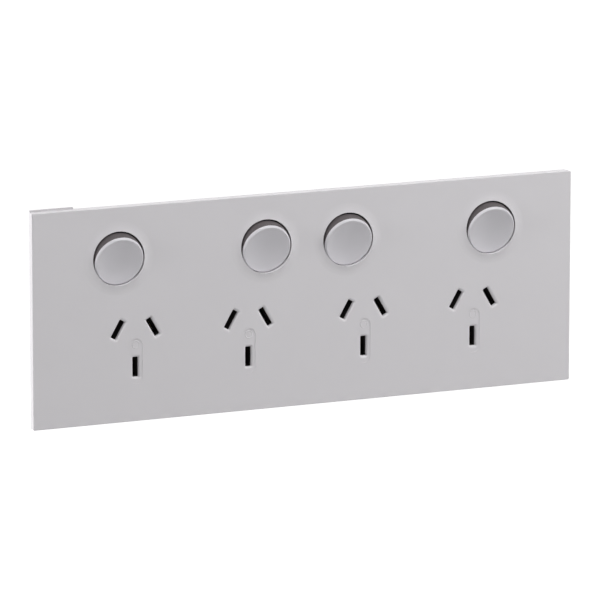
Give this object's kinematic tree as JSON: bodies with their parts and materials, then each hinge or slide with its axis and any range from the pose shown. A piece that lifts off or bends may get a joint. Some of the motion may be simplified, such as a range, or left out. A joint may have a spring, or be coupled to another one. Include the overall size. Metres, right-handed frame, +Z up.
{
  "type": "quad power outlet",
  "caption": "Wide flat wall plate with flat-pin sockets in a row and a round rocker switch above each, on a clip-on cover over a screw-fixed frame and enclosed mechanisms.",
  "frame": {"origin": "on the wall behind the middle of the plate, on the frame's rear face", "axes": "+X along the plate to the right as seen from the room, +Y into the wall, +Z up"},
  "size_m": [0.2152, 0.0318, 0.0801],
  "materials": {
    "cover_plastic": "fine satin moulding",
    "frame_plastic": "satin moulding",
    "white_plastic": "smooth satin moulding",
    "dark_plastic": "matt moulding",
    "housing_plastic": "matt moulding",
    "nylon": "smooth",
    "brass": "rolled strip",
    "terminal_brass": "machined bar",
    "spring_steel": "drawn wire",
    "plated_steel": "zinc plated"
  },
  "bodies": {
    "root": {"active_contact_1": "brass", "active_contact_2": "brass", "active_contact_3": "brass", "active_contact_4": "brass", "cover_plate": "cover_plastic", "left_active_terminal": "terminal_brass", "left_earth_bar": "brass", "left_earth_terminal": "terminal_brass", "left_front_moulding": "dark_plastic", "left_housing_screws": "plated_steel", "left_neutral_bar": "brass", "left_neutral_terminal": "terminal_brass", "left_rear_housing": "housing_plastic", "left_supply_bar": "brass", "left_terminal_screws": "plated_steel", "mounting_frame": "frame_plastic", "right_active_terminal": "terminal_brass", "right_earth_bar": "brass", "right_earth_terminal": "terminal_brass", "right_front_moulding": "dark_plastic", "right_housing_screws": "plated_steel", "right_neutral_bar": "brass", "right_neutral_terminal": "terminal_brass", "right_rear_housing": "housing_plastic", "right_supply_bar": "brass", "right_terminal_screws": "plated_steel"},
    "rocker_1": {"switch_cap_1": "white_plastic", "switch_carrier_1": "dark_plastic", "switch_plunger_1": "nylon", "switch_spring_1": "spring_steel"},
    "seesaw_1": {"seesaw_contact_1": "brass"},
    "rocker_2": {"switch_cap_2": "white_plastic", "switch_carrier_2": "dark_plastic", "switch_plunger_2": "nylon", "switch_spring_2": "spring_steel"},
    "seesaw_2": {"seesaw_contact_2": "brass"},
    "rocker_3": {"switch_cap_3": "white_plastic", "switch_carrier_3": "dark_plastic", "switch_plunger_3": "nylon", "switch_spring_3": "spring_steel"},
    "seesaw_3": {"seesaw_contact_3": "brass"},
    "rocker_4": {"switch_cap_4": "white_plastic", "switch_carrier_4": "dark_plastic", "switch_plunger_4": "nylon", "switch_spring_4": "spring_steel"},
    "seesaw_4": {"seesaw_contact_4": "brass"}
  },
  "joints": [
    {"name": "rocker_1_tilt", "type": "hinge", "parent": "root", "child": "rocker_1", "pos_m": [-0.0743, -0.0015, 0.0209], "axis": [-1, 0, 0], "range_deg": [0, 32]},
    {"name": "seesaw_1_tip", "type": "hinge", "parent": "root", "child": "seesaw_1", "pos_m": [-0.0743, 0.0081, 0.0209], "axis": [-1, 0, 0], "range_deg": [-20, 0]},
    {"name": "rocker_2_tilt", "type": "hinge", "parent": "root", "child": "rocker_2", "pos_m": [-0.01635, -0.0015, 0.0209], "axis": [-1, 0, 0], "range_deg": [0, 32]},
    {"name": "seesaw_2_tip", "type": "hinge", "parent": "root", "child": "seesaw_2", "pos_m": [-0.01635, 0.0081, 0.0209], "axis": [-1, 0, 0], "range_deg": [-20, 0]},
    {"name": "rocker_3_tilt", "type": "hinge", "parent": "root", "child": "rocker_3", "pos_m": [0.01635, -0.0015, 0.0209], "axis": [-1, 0, 0], "range_deg": [0, 32]},
    {"name": "seesaw_3_tip", "type": "hinge", "parent": "root", "child": "seesaw_3", "pos_m": [0.01635, 0.0081, 0.0209], "axis": [-1, 0, 0], "range_deg": [-20, 0]},
    {"name": "rocker_4_tilt", "type": "hinge", "parent": "root", "child": "rocker_4", "pos_m": [0.0743, -0.0015, 0.0209], "axis": [-1, 0, 0], "range_deg": [0, 32]},
    {"name": "seesaw_4_tip", "type": "hinge", "parent": "root", "child": "seesaw_4", "pos_m": [0.0743, 0.0081, 0.0209], "axis": [-1, 0, 0], "range_deg": [-20, 0]}
  ],
  "couplings": [
    {"joint": "seesaw_1_tip", "follows": "rocker_1_tilt", "ratio": -0.5},
    {"joint": "seesaw_2_tip", "follows": "rocker_2_tilt", "ratio": -0.5},
    {"joint": "seesaw_3_tip", "follows": "rocker_3_tilt", "ratio": -0.5},
    {"joint": "seesaw_4_tip", "follows": "rocker_4_tilt", "ratio": -0.5}
  ]
}
